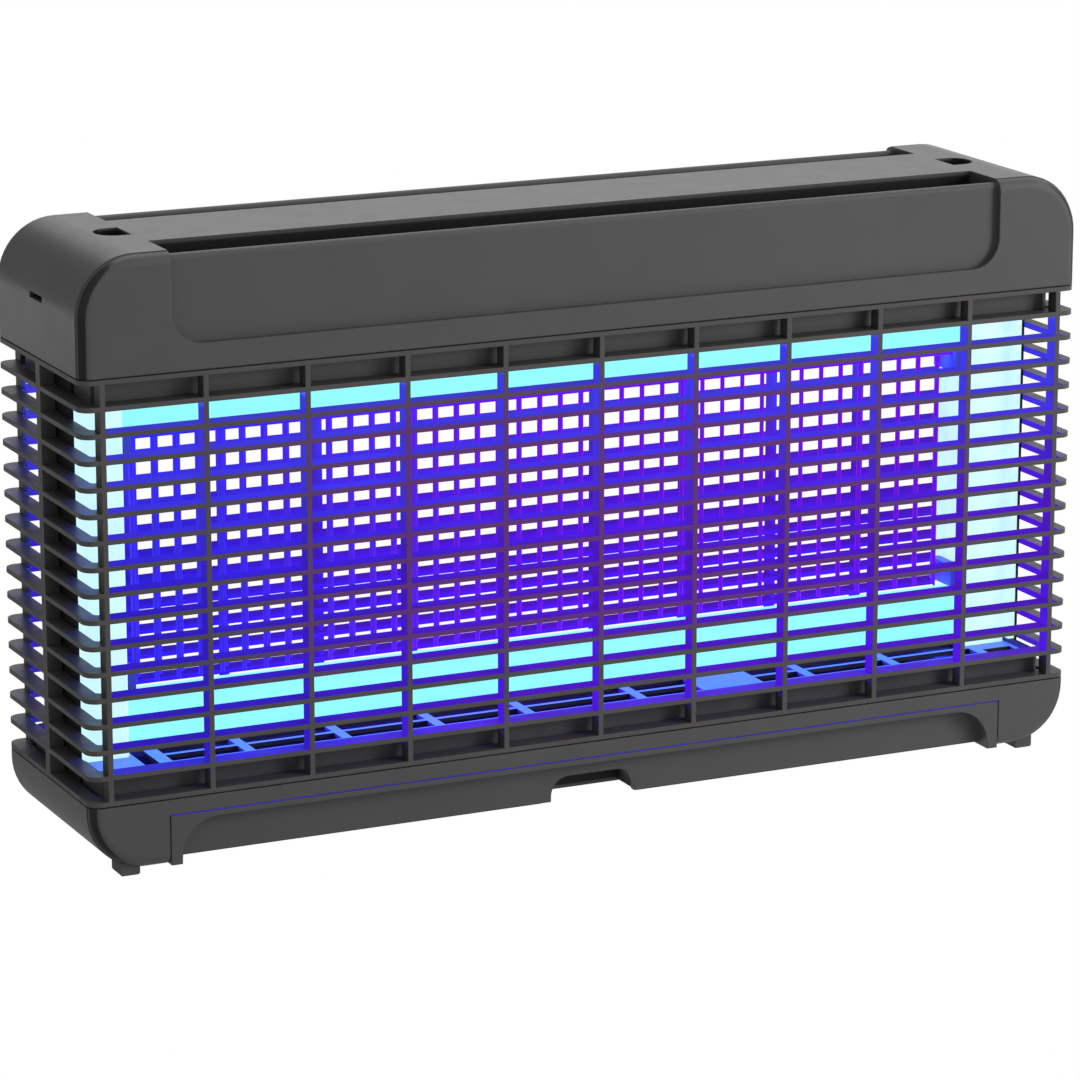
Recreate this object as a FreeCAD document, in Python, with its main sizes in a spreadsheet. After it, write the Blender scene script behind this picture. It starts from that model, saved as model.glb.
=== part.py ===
"""Electric bug zapper: two horizontal UV tubes and a high-voltage rod grid in a slatted cage.

Frame: X along the length, the front faces -Y, Z up, origin on the ground under the middle.
"""
import FreeCAD, Part
import os
import re
import Sketcher
from FreeCAD import Placement, Rotation, Vector

os.makedirs("parts", exist_ok=True)
doc = FreeCAD.newDocument("BugZapper")
sheet = doc.addObject("Spreadsheet::Sheet", "Dims")

DIMENSIONS = {
    # overall
    "length": 500, "width": 110, "height": 281, "foot_height": 4,
    # levels of the housing, the cage and the base
    "base_top": 34.5, "shadow_gap": 0.6, "deck_top": 228,
    # moulded shells
    "wall": 2.5, "corner_radius": 27, "rim_radius": 5, "rim_step": 0.4,
    # carry grips of the top cover
    "grip_half": 207, "grip_bottom": 239.75, "grip_corner": 14, "panel_recess": 3.5,
    "panel_wall": 5, "panel_top": 279.2, "trough_width": 20, "trough_floor": 257,
    # suspension sockets and end slots
    "socket_inner": 208, "socket_outer": 222, "socket_half": 9.25, "socket_depth": 12,
    "hanger_radius": 2, "hanger_level": 273.5, "slot_half": 8, "slot_height": 2.6, "slot_level": 255,
    # slatted cage
    "fin_count": 17, "fin_thickness": 2.2, "fin_depth": 9.5, "fin_side_depth": 7.4, "cage_corner": 6,
    "bar_count": 11, "bar_pitch": 48, "bar_width": 2.4, "bar_depth": 7, "seam_bar": 2.6,
    # skirts of the deck and the floor
    "skirt_half_length": 241, "skirt_half_width": 45, "skirt_wall": 2, "skirt_corner": 4,
    "deck_skirt_bottom": 213.5, "floor_rim": 46.4, "floor_top": 44,
    # slotted floor
    "crossbar": 5, "slat_count": 7, "slat_pitch": 12, "slat_gap": 9.5,
    "slit_outer": 214.5, "slit_inner": 207.5, "cross_one": -203.5, "cross_two": -163.5,
    "cross_three": -116, "cross_four": -69.5, "cross_five": -23.75, "cross_six": 34.5, "pad_left": 66.5,
    "pad_right": 98.5, "cross_seven": 124, "cross_eight": 170.5, "cross_nine": 219, "hole_outer": 236.5,
    "hole_near": 24,
    # collection tray
    "fascia_half": 212.3, "fascia_top": 27, "fascia_thickness": 12, "scoop_half": 207,
    "scoop_top": 24.35, "scoop_radius": 18, "scoop_depth": 8.5, "notch_half": 21.5, "notch_top": 17,
    "notch_radius": 9, "notch_depth": 20, "pan_half": 210, "pan_back": 41, "pan_floor": 6.3,
    "pan_top": 26, "pan_wall": 1.6, "slide_gap": 0.5,
    # UV tubes and their holders
    "tube_radius": 12.75, "glass_wall": 0.8, "glass_half": 224, "cap_radius": 13.1, "cap_start": 216.4,
    "cap_end": 225, "pin_radius": 1.18, "pin_offset": 6.35, "pin_end": 232, "lower_axis": 58.75,
    "upper_axis": 203.75, "holder_start": 225.5, "holder_half_width": 12, "holder_half_height": 13,
    "groove_outer": 8, "groove_inner": 4.6, "groove_end": 233.5,
    # lamp columns and end plates
    "column_inner": 216, "column_outer": 238, "column_half": 15, "column_wall": 1.5, "column_hole": 13.6,
    "plate_half": 21, "plate_inner": 241.2, "plate_outer": 242.4, "flange_half": 20.6,
    # rod grid
    "rod_radius": 1, "rod_count": 40, "rod_pitch": 10.6, "rod_layer": 5, "rod_bottom": 75.2,
    "rod_top": 190.2, "rail_radius": 1, "rail_offset": 1.6, "front_rail_low": 81, "rear_rail_low": 77,
    "front_rail_high": 189.3, "rear_rail_high": 187.3, "rail_half": 214, "insulator_face": 210.7,
    "insulator_half_width": 10, "insulator_low": 73.5, "insulator_high": 190.6, "insulator_height": 10.5,
    # fasteners
    "screw_radius": 1.5, "head_radius": 3, "head_height": 2.2, "cover_screw_x": 231, "cover_screw_y": 35,
    "base_screw_x": 229, "base_screw_y": 14, "plate_head": 0.9,
    # feet
    "foot_x": 230, "rear_foot_x": 217, "foot_y": 44, "foot_half_x": 4.5, "foot_half_y": 6,
    "foot_socket": 6.5,
    # switch and cord inlet in the rear grip panel
    "switch_x": 150, "switch_z": 246, "switch_half": 6.7, "switch_half_height": 4.3, "switch_flange": 1.5,
    "well_half": 5.7, "well_half_height": 3.4, "pivot_depth": 3, "pivot_radius": 1, "pivot_half": 4.1,
    "inlet_x": 182, "inlet_radius": 6, "inlet_bore": 3.2, "inlet_flange": 2.5,
    # electrical parts on the deck
    "ballast_inner": 70, "ballast_outer": 180, "ballast_half": 16, "ballast_height": 22, "ballast_ear": 10,
    "core_left": -44, "core_right": 4, "core_half": 9, "core_height": 40, "winding_half": 18,
    "winding_inset": 8, "board_left": 30, "board_right": 130, "board_half": 22, "board_post": 3,
    "board_thickness": 1.6, "post_inset": 6, "can_radius": 7, "can_height": 20, "can_first": 50,
    "can_pitch": 20, "can_y": -6, "terminal_left": 142, "terminal_right": 172, "terminal_near": -2,
    "terminal_far": -14, "terminal_height": 12, "well_radius": 2, "well_pitch": 10,
}
for row, (alias, number) in enumerate(DIMENSIONS.items(), start=1):
    sheet.set(f"A{row}", alias)
    sheet.set(f"B{row}", str(number))
    sheet.setAlias(f"B{row}", alias)
doc.recompute()

ALIASES = re.compile(r"\b(" + "|".join(DIMENSIONS) + r")\b")
CAGE_BOTTOM = "(base_top + shadow_gap)"
CAGE_TOP = "(deck_top - shadow_gap)"
HALF_TURN = Placement(Vector(0, 0, 0), Rotation(Vector(0, 0, 1), 180))


def expanded(expression):
    """The expression with every dimension's name pointing at its cell."""
    return ALIASES.sub(r"Dims.\1", expression)


def value(expression):
    return float(sheet.evalExpression(expanded(expression)))


def bind(item, prop, expression):
    item.setExpression(prop, expanded(expression))


def new_body(label):
    body = doc.addObject("PartDesign::Body", label)
    body.Label = label
    return body


def origin_item(body, role):
    return next(item for item in body.Origin.OriginFeatures if item.Role == role)


# ---------------------------------------------------------------- building blocks

def set_box(box, spans):
    """Binds a box to its six limits, given as x0, x1, y0, y1, z0, z1."""
    for size, axis, low, high in zip(("Length", "Width", "Height"), "xyz", spans[::2], spans[1::2]):
        bind(box, size, f"({high}) - ({low})")
        bind(box, f"Placement.Base.{axis}", low)
    return box


def add_box(body, name, *spans):
    return set_box(body.newObject("PartDesign::AdditiveBox", name), spans)


def cut_box(body, name, *spans):
    return set_box(body.newObject("PartDesign::SubtractiveBox", name), spans)


def set_rod(rod, radius, start, end, centre, along):
    """Binds a cylinder along X, Y or Z; centre holds its two other coordinates in order."""
    turn = {"X": Rotation(Vector(0, 1, 0), 90), "Y": Rotation(Vector(1, 0, 0), -90), "Z": Rotation()}
    rod.Placement = Placement(Vector(0, 0, 0), turn[along])
    bind(rod, "Radius", radius)
    bind(rod, "Height", f"({end}) - ({start})")
    bind(rod, f"Placement.Base.{along.lower()}", start)
    for axis, place in zip("xyz".replace(along.lower(), ""), centre):
        bind(rod, f"Placement.Base.{axis}", place)
    return rod


def add_rod(body, name, radius, start, end, centre, along):
    return set_rod(body.newObject("PartDesign::AdditiveCylinder", name), radius, start, end, centre, along)


def cut_rod(body, name, radius, start, end, centre, along):
    rod = body.newObject("PartDesign::SubtractiveCylinder", name)
    return set_rod(rod, radius, start, end, centre, along)


def loose_box(name, *spans):
    return set_box(doc.addObject("Part::Box", name), spans)


def loose_rod(name, radius, start, end, centre, along):
    return set_rod(doc.addObject("Part::Cylinder", name), radius, start, end, centre, along)


def group(label, pieces):
    """One node of several separate solids."""
    joined = doc.addObject("Part::MultiFuse", label)
    joined.Shapes = pieces
    joined.Label = label
    return joined


def outline(body, name, role, offset, corners):
    """A closed sketch with square sides on an origin plane, each corner given as x, y, radius."""
    sketch = body.newObject("Sketcher::SketchObject", name)
    sketch.AttachmentSupport = [(origin_item(body, role), "")]
    sketch.MapMode = "FlatFace"
    bind(sketch, "AttachmentOffset.Base.z", offset)
    points = [Vector(value(x), value(y), 0) for x, y, _ in corners]
    radii = [value(radius) for _, _, radius in corners]
    count = len(corners)
    ways = [(points[(i + 1) % count] - points[i]).normalize() for i in range(count)]
    sides = []
    for i in range(count):
        start = points[i] + ways[i] * radii[i]
        end = points[(i + 1) % count] - ways[i] * radii[(i + 1) % count]
        side = sketch.addGeometry(Part.LineSegment(start, end), False)
        sides.append(side)
        upright = abs(ways[i].x) < 0.5
        sketch.addConstraint(Sketcher.Constraint("Vertical" if upright else "Horizontal", side))
        kind, which = ("DistanceX", 0) if upright else ("DistanceY", 1)
        place = points[i].x if upright else points[i].y
        fixed = sketch.addConstraint(Sketcher.Constraint(kind, -1, 1, side, 1, place))
        bind(sketch, f"Constraints[{fixed}]", corners[i][which])
    for i in range(count):
        before, after = sides[i - 1], sides[i]
        if radii[i] == 0:
            sketch.addConstraint(Sketcher.Constraint("Coincident", before, 2, after, 1))
            continue
        start = points[i] - ways[i - 1] * radii[i]
        end = points[i] + ways[i] * radii[i]
        centre = points[i] + (ways[i] - ways[i - 1]) * radii[i]
        middle = centre + (points[i] - centre).normalize() * radii[i]
        arc = sketch.addGeometry(Part.Arc(start, middle, end), False)
        first, last = (1, 2) if ways[i - 1].cross(ways[i]).z > 0 else (2, 1)
        sketch.addConstraint(Sketcher.Constraint("Tangent", before, 2, arc, first))
        sketch.addConstraint(Sketcher.Constraint("Tangent", arc, last, after, 1))
        size = sketch.addConstraint(Sketcher.Constraint("Radius", arc, radii[i]))
        bind(sketch, f"Constraints[{size}]", corners[i][2])
    sketch.Visibility = False
    return sketch


def extrude(body, name, kind, sketch, length, reverse=False):
    """A pad or a pocket of one sketch; a pad follows the sketch's normal unless reversed."""
    feature = body.newObject(f"PartDesign::{kind}", name)
    feature.Profile = sketch
    feature.Reversed = reverse
    bind(feature, "Length", length)
    return feature


def repeat(body, name, feature, axis, count, span, axis2=None, count2=None, span2=None):
    pattern = body.newObject("PartDesign::LinearPattern", name)
    pattern.Originals = [feature]
    pattern.Direction = (origin_item(body, f"{axis}_Axis"), [""])
    bind(pattern, "Length", span)
    bind(pattern, "Occurrences", count)
    if axis2:
        pattern.Direction2 = (origin_item(body, f"{axis2}_Axis"), [""])
        bind(pattern, "Length2", span2)
        bind(pattern, "Occurrences2", count2)
    body.Tip = pattern
    return pattern


def round_edges(body, name, radius, chosen):
    """Fillets the edges of the body so far that the test picks."""
    doc.recompute()
    tip = body.Tip
    names = [f"Edge{i}" for i, edge in enumerate(tip.Shape.Edges, start=1) if chosen(edge)]
    if not names:
        raise RuntimeError(f"{body.Label}: no edge to round for {name}")
    fillet = body.newObject("PartDesign::Fillet", name)
    fillet.Base = (tip, names)
    bind(fillet, "Radius", radius)
    return fillet


def lies_at(edge, **places):
    """True when the whole edge lies at the named coordinates."""
    box = edge.BoundBox
    limits = {"x": (box.XMin, box.XMax), "y": (box.YMin, box.YMax), "z": (box.ZMin, box.ZMax)}
    return all(abs(limit - place) < 0.01 for axis, place in places.items() for limit in limits[axis])


def corner_edge(x, y):
    """A test for the upright edges at the four corners (+-x, +-y)."""
    return lambda edge: any(lies_at(edge, x=sx * x, y=sy * y) for sx in (-1, 1) for sy in (-1, 1))


# ---------------------------------------------------------------- top cover and deck

def shell_outline(body, name, offset, inset, low, high, round_top):
    """The end view of a shell, rounded at its two upper or its two lower corners."""
    half = f"length/2 - {inset}"
    top = f"{high} - {inset}" if round_top else high
    bottom = low if round_top else f"{low} + {inset}"
    round_low, round_high = ("0", "corner_radius") if round_top else ("corner_radius", "0")
    corners = [(f"-({half})", bottom, round_low), (half, bottom, round_low),
               (half, top, round_high), (f"-({half})", top, round_high)]
    return outline(body, name, "XZ_Plane", offset, corners)


def shell_block(body, low, high, round_top):
    """A shell's outer form: a rounded rim front and rear, and a band between them a step prouder."""
    rim = shell_outline(body, "rim_outline", "-width/2", "rim_step", low, high, round_top)
    extrude(body, "rim", "Pad", rim, "width")
    flat = value(low if round_top else high)
    front = value("width/2")

    def on_rim(edge):
        on_face = any(lies_at(edge, y=y) for y in (-front, front))
        return on_face and not lies_at(edge, z=flat)

    round_edges(body, "rim_rounding", "rim_radius", on_rim)
    band = shell_outline(body, "band_outline", "-(width/2 - rim_radius)", "0", low, high, round_top)
    extrude(body, "band", "Pad", band, "width - 2*rim_radius")


def make_grip(body, side):
    """One carry grip: a recessed panel in the face and a finger trough behind it."""
    tag = "front" if side < 0 else "rear"

    def span(near, far):
        return (f"-({near})", f"-({far})") if side < 0 else (far, near)

    outer = "width/2 - panel_recess - panel_wall"
    back = f"{outer} - trough_width"
    block = span("width/2 - panel_recess - wall", f"{back} - wall")
    add_box(body, f"{tag}_trough_walls", "-grip_half - wall", "grip_half + wall", *block,
            "trough_floor - wall", "height - wall")
    cut_box(body, f"{tag}_trough", "-grip_half", "grip_half", *span(outer, back),
            "trough_floor", "height + 1")
    corners = [("-grip_half", "grip_bottom", "grip_corner"), ("grip_half", "grip_bottom", "grip_corner"),
               ("grip_half", "height + 1", "0"), ("-grip_half", "height + 1", "0")]
    plane = "width/2 + 1" if side < 0 else "-width/2 - 1"
    recess = outline(body, f"{tag}_recess_outline", "XZ_Plane", plane, corners)
    extrude(body, f"{tag}_recess", "Pocket", recess, "panel_recess + 1", reverse=side > 0)
    cut_box(body, f"{tag}_panel_rim", "-grip_half", "grip_half", *span("width/2", outer),
            "panel_top", "height + 1")


def make_top_cover():
    body = new_body("top_cover")
    shell_block(body, "deck_top", "height", round_top=True)
    inside = "(length/2 - rim_step - wall)"
    arch = "(corner_radius - wall)"
    corners = [(f"-{inside}", "deck_top - 1", "0"), (inside, "deck_top - 1", "0"),
               (inside, "height - wall", arch), (f"-{inside}", "height - wall", arch)]
    cavity = outline(body, "cavity_outline", "XZ_Plane", "-(width/2 - panel_recess - wall)", corners)
    extrude(body, "cavity", "Pocket", cavity, "width - 2*panel_recess - 2*wall", reverse=True)
    for side, tag in ((-1, "left"), (1, "right")):
        ends = ("grip_half + wall", inside) if side > 0 else (f"-{inside}", "-grip_half - wall")
        cut_box(body, f"{tag}_end_cavity", *ends, "-width/2 + wall", "width/2 - wall",
                "deck_top - 1", "height - corner_radius")
    for side in (-1, 1):
        make_grip(body, side)
    for side, tag in ((-1, "left"), (1, "right")):
        make_socket(body, side, tag)
        slot = ("length/2 - 2*wall", "length/2 + 1") if side > 0 else ("-length/2 - 1", "-length/2 + 2*wall")
        cut_box(body, f"{tag}_end_slot", *slot, "-slot_half", "slot_half",
                "slot_level - slot_height/2", "slot_level + slot_height/2")
    for sx in ("-", ""):
        for sy in ("-", ""):
            place = (f"{sx}cover_screw_x", f"{sy}cover_screw_y")
            rib = (place[0], f"{sx}(length/2 - wall)")
            rib = rib if sx == "" else rib[::-1]
            add_box(body, "boss_rib", *rib, f"{place[1]} - 1", f"{place[1]} + 1",
                    "deck_top", "deck_top + 12")
            add_rod(body, "screw_boss", "screw_radius + 2", "deck_top", "deck_top + 12", place, "Z")
            cut_rod(body, "screw_hole", "screw_radius", "deck_top - 1", "deck_top + 10", place, "Z")
    cut_box(body, "switch_opening", "switch_x - switch_half", "switch_x + switch_half",
            "width/2 - 8", "width/2", "switch_z - switch_half_height", "switch_z + switch_half_height")
    cut_rod(body, "inlet_opening", "inlet_radius - 1.5", "width/2 - 8", "width/2",
            ("inlet_x", "switch_z"), "Y")
    faces = [value("width/2 - panel_recess"), value("width/2 - panel_recess - panel_wall")]
    rim = value("panel_top")
    round_edges(body, "panel_rim_rounding", "panel_wall/2 - 0.2",
                lambda edge: any(lies_at(edge, z=rim, y=s * y) for s in (-1, 1) for y in faces))
    return body


def make_socket(body, side, tag):
    """A D-shaped suspension socket in the top, its round side outwards."""
    near, far = ("socket_inner - wall", "socket_outer + wall")
    block = (near, far) if side > 0 else (f"-({far})", f"-({near})")
    add_box(body, f"{tag}_socket_walls", *block, "-socket_half - 4", "socket_half + 4",
            "height - socket_depth - wall", "height - wall/2")
    inner, outer = ("socket_inner", "socket_outer") if side > 0 else ("-socket_inner", "-socket_outer")
    low, high = (inner, outer) if side > 0 else (outer, inner)
    round_low, round_high = ("0", "socket_half - 0.5") if side > 0 else ("socket_half - 0.5", "0")
    corners = [(low, "-socket_half", round_low), (high, "-socket_half", round_high),
               (high, "socket_half", round_high), (low, "socket_half", round_low)]
    shape = outline(body, f"{tag}_socket_outline", "XY_Plane", "height + 1", corners)
    extrude(body, f"{tag}_socket", "Pocket", shape, "socket_depth + 1")
    centre = "(socket_inner + socket_outer)/2"
    place = centre if side > 0 else f"-{centre}"
    cut_rod(body, f"{tag}_hanger_hole", "hanger_radius", "-socket_half - 2.5", "socket_half + 2.5",
            (place, "hanger_level"), "Y")


def make_top_deck():
    body = new_body("top_deck")
    add_box(body, "skirt", "-skirt_half_length", "skirt_half_length", "-skirt_half_width",
            "skirt_half_width", "deck_skirt_bottom", CAGE_TOP)
    round_edges(body, "skirt_rounding", "skirt_corner",
                corner_edge(value("skirt_half_length"), value("skirt_half_width")))
    cut_box(body, "inside", "-skirt_half_length + skirt_wall", "skirt_half_length - skirt_wall",
            "-skirt_half_width + skirt_wall", "skirt_half_width - skirt_wall",
            "deck_skirt_bottom - 1", f"{CAGE_TOP} - 2")
    add_box(body, "flange", "-length/2 + 2", "length/2 - 2", "-width/2 + 2", "width/2 - 2",
            CAGE_TOP, "deck_top")
    for sx in ("-", ""):
        cut_box(body, "wire_slot", f"{sx}(column_outer - 8) - 4", f"{sx}(column_outer - 8) + 4",
                "-4", "4", f"{CAGE_TOP} - 3", "deck_top + 1")
        for sy in ("-", ""):
            cut_rod(body, "screw_hole", "screw_radius + 0.2", f"{CAGE_TOP} - 3", "deck_top + 1",
                    (f"{sx}cover_screw_x", f"{sy}cover_screw_y"), "Z")
    for x in ("board_left + post_inset", "board_right - post_inset"):
        for sy in ("-", ""):
            add_rod(body, "post", "3", "deck_top", "deck_top + board_post",
                    (x, f"{sy}(board_half - post_inset + 1)"), "Z")
    return body


# ---------------------------------------------------------------- cage

def make_grille(label):
    """The front half of the cage: wrap-round fins on upright bars, open to the rear."""
    body = new_body(label)
    inner_x = "(length/2 - fin_side_depth)"
    inner_y = "(width/2 - fin_depth)"
    corners = [("-length/2", "-width/2", "cage_corner"), ("length/2", "-width/2", "cage_corner"),
               ("length/2", "-0.1", "0"), (inner_x, "-0.1", "0"),
               (inner_x, f"-{inner_y}", "2"), (f"-{inner_x}", f"-{inner_y}", "2"),
               (f"-{inner_x}", "-0.1", "0"), ("-length/2", "-0.1", "0")]
    plate = outline(body, "fin_outline", "XY_Plane", CAGE_BOTTOM, corners)
    fin = extrude(body, "fin", "Pad", plate, "fin_thickness")
    repeat(body, "fins", fin, "Z", "fin_count", f"{CAGE_TOP} - {CAGE_BOTTOM} - fin_thickness")
    first = "-(bar_count - 1)/2*bar_pitch"
    bar = add_box(body, "bar", f"{first} - bar_width/2", f"{first} + bar_width/2", "-width/2",
                  "-width/2 + bar_depth", CAGE_BOTTOM, CAGE_TOP)
    repeat(body, "bars", bar, "X", "bar_count", "(bar_count - 1)*bar_pitch")
    for tag, span in (("left", ("-length/2", "-length/2 + bar_depth")),
                      ("right", ("length/2 - bar_depth", "length/2"))):
        add_box(body, f"{tag}_seam_bar", *span, "-seam_bar - 0.1", "-0.1", CAGE_BOTTOM, CAGE_TOP)
    return body


# ---------------------------------------------------------------- lamp columns and end plates

def make_lamp_column(label):
    """The right-hand white column that shrouds the tube ends, flanged and open towards its end plate."""
    body = new_body(label)
    add_box(body, "block", "column_inner", "column_outer", "-column_half", "column_half",
            "floor_top", f"{CAGE_TOP} - 2")
    add_box(body, "flange", "column_outer", "plate_inner", "-flange_half", "flange_half",
            "floor_rim + 0.2", "deck_skirt_bottom - 0.2")
    cut_box(body, "inside", "column_inner + column_wall", "plate_inner + 1",
            "-column_half + column_wall", "column_half - column_wall",
            "floor_top + column_wall", f"{CAGE_TOP} - 2 - column_wall")
    for axis in ("lower_axis", "upper_axis"):
        cut_rod(body, f"{axis}_hole", "column_hole", "column_inner - 1", "column_inner + 2*column_wall",
                ("0", axis), "X")
    cut_box(body, "wire_opening", "column_outer - 12", "column_outer - 4", "-4", "4",
            f"{CAGE_TOP} - 6", f"{CAGE_TOP} - 1")
    edge_y = value("column_half")
    edge_x = value("column_inner")
    round_edges(body, "column_rounding", "2",
                lambda edge: any(lies_at(edge, x=edge_x, y=s * edge_y) for s in (-1, 1)))
    return body


def make_end_plate(label):
    """The right-hand black plate that closes the end between the cage seam bars."""
    body = new_body(label)
    add_box(body, "sheet", "plate_inner", "plate_outer", "-plate_half", "plate_half",
            CAGE_BOTTOM, CAGE_TOP)
    add_box(body, "backing", "column_outer", "plate_inner", "-holder_half_width - 1",
            "holder_half_width + 1", "floor_rim + 0.2", "deck_skirt_bottom - 0.2")
    return body


def make_end_plate_screws():
    """Three low pan-head screws in each end plate."""
    levels = ("floor_rim + 6", f"({CAGE_BOTTOM} + {CAGE_TOP})/2 + 6", "deck_skirt_bottom - 7")
    heads = []
    for sign in ("", "-"):
        for level in levels:
            outer = "plate_outer + plate_head"
            span = ("plate_outer", outer) if sign == "" else (f"-({outer})", "-plate_outer")
            heads.append(loose_rod("plate_screw", "head_radius - 0.4", *span, ("12", level), "X"))
    return group("end_plate_screws", heads)


# ---------------------------------------------------------------- UV tubes and holders

def make_lampholder(label, axis):
    """A right-hand holder: a block with a ring groove in which the two tube pins turn."""
    body = new_body(label)
    add_box(body, "block", "holder_start", "column_outer", "-holder_half_width", "holder_half_width",
            f"{axis} - holder_half_height", f"{axis} + holder_half_height")
    cut_rod(body, "groove", "groove_outer", "holder_start - 1", "groove_end", ("0", axis), "X")
    add_rod(body, "core", "groove_inner", "holder_start", "groove_end", ("0", axis), "X")
    return body


def make_tube(name, axis):
    """A UV tube in three nodes: hollow glass, two end caps and four contact pins."""
    glass = new_body(f"{name}_tube_glass")
    add_rod(glass, "outside", "tube_radius", "-glass_half", "glass_half", ("0", axis), "X")
    cut_rod(glass, "bore", "tube_radius - glass_wall", "-glass_half - 1", "glass_half + 1", ("0", axis), "X")
    caps = []
    pins = []
    for sign in ("", "-"):
        shell = ("cap_start", "cap_end") if sign == "" else ("-cap_end", "-cap_start")
        bore = ("cap_start - 1", "glass_half") if sign == "" else ("-glass_half", "-cap_start + 1")
        stub = ("cap_end", "pin_end") if sign == "" else ("-pin_end", "-cap_end")
        cap = doc.addObject("Part::Cut", "cap")
        cap.Base = loose_rod("cap_outside", "cap_radius", *shell, ("0", axis), "X")
        cap.Tool = loose_rod("cap_bore", "tube_radius", *bore, ("0", axis), "X")
        caps.append(cap)
        for side in ("-", "+"):
            pins.append(loose_rod("pin", "pin_radius", *stub, ("0", f"{axis} {side} pin_offset"), "X"))
    return [glass, group(f"{name}_tube_caps", caps), group(f"{name}_tube_pins", pins)]


# ---------------------------------------------------------------- high-voltage grid

def make_rod_grid(label, sign):
    """One layer of upright rods welded to two rails; the two layers are staggered by half a pitch."""
    body = new_body(label)
    layer = f"{sign}rod_layer"
    rail = f"{sign}(rod_layer + rail_offset)"
    face = "front" if sign == "-" else "rear"
    for level in ("low", "high"):
        add_rod(body, f"{level}_rail", "rail_radius", "-rail_half", "rail_half",
                (rail, f"{face}_rail_{level}"), "X")
    first = f"-(rod_count - 1)/2*rod_pitch {'-' if sign == '-' else '+'} rod_pitch/4"
    rod = add_rod(body, "rod", "rod_radius", "rod_bottom", "rod_top", (first, layer), "Z")
    repeat(body, "rods", rod, "X", "rod_count", "(rod_count - 1)*rod_pitch")
    return body


def make_insulator(label, level, span, faces):
    """A right-hand insulator that holds the ends of both layers' rails; faces says which rail is at -Y."""
    body = new_body(label)
    add_box(body, "block", "insulator_face", "column_inner", "-insulator_half_width",
            "insulator_half_width", *span)
    for sign, face in zip(("-", ""), faces):
        cut_rod(body, "rail_hole", "rail_radius", "insulator_face - 1", "rail_half",
                (f"{sign}(rod_layer + rail_offset)", f"{face}_rail_{level}"), "X")
    return body


# ---------------------------------------------------------------- floor, base and tray

def make_floor_grate():
    body = new_body("floor_grate")
    add_box(body, "block", "-skirt_half_length", "skirt_half_length", "-skirt_half_width",
            "skirt_half_width", "base_top", "floor_rim")
    round_edges(body, "skirt_rounding", "skirt_corner",
                corner_edge(value("skirt_half_length"), value("skirt_half_width")))
    add_box(body, "flange", "-length/2 + 2", "length/2 - 2", "-width/2 + 2", "width/2 - 2",
            "base_top", CAGE_BOTTOM)
    inside = ("-skirt_half_length + skirt_wall", "skirt_half_length - skirt_wall",
              "-skirt_half_width + skirt_wall", "skirt_half_width - skirt_wall")
    cut_box(body, "above_floor", *inside, "floor_top", "floor_rim + 1")
    cut_box(body, "below_floor", *inside, "base_top - 1", "floor_top - 2")
    first_y = "-(slat_count - 1)/2*slat_pitch"
    bars = ["cross_one", "cross_two", "cross_three", "cross_four", "cross_five", "cross_six"]
    bays = [(f"{bar} + crossbar/2", f"{after} - crossbar/2") for bar, after in zip(bars, bars[1:])]
    bays += [("cross_six + crossbar/2", "pad_left"), ("pad_right", "cross_seven - crossbar/2"),
             ("cross_seven + crossbar/2", "cross_eight - crossbar/2"),
             ("cross_eight + crossbar/2", "cross_nine - crossbar/2")]
    for start, end in bays:
        slot = cut_box(body, "slot", start, end, f"{first_y} - slat_gap/2", f"{first_y} + slat_gap/2",
                       "floor_top - 3", "floor_top + 1")
        repeat(body, "slots", slot, "Y", "slat_count", "(slat_count - 1)*slat_pitch")
    cut_box(body, "end_slit", "-slit_outer", "-slit_inner", f"{first_y} - slat_gap/2",
            f"-({first_y}) + slat_gap/2", "floor_top - 3", "floor_top + 1")
    for sides in ((f"{first_y} - slat_gap/2", "-hole_near"), ("hole_near", f"-({first_y}) + slat_gap/2")):
        cut_box(body, "end_hole", "cross_nine + crossbar/2", "hole_outer", *sides,
                "floor_top - 3", "floor_top + 1")
    for sx in ("-", ""):
        for sy in ("-", ""):
            place = (f"{sx}base_screw_x", f"{sy}base_screw_y")
            add_rod(body, "screw_boss", "screw_radius + 2", CAGE_BOTTOM, "floor_top - 1", place, "Z")
            cut_rod(body, "screw_hole", "screw_radius", "base_top - 1", "floor_top - 2", place, "Z")
    return body


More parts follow.
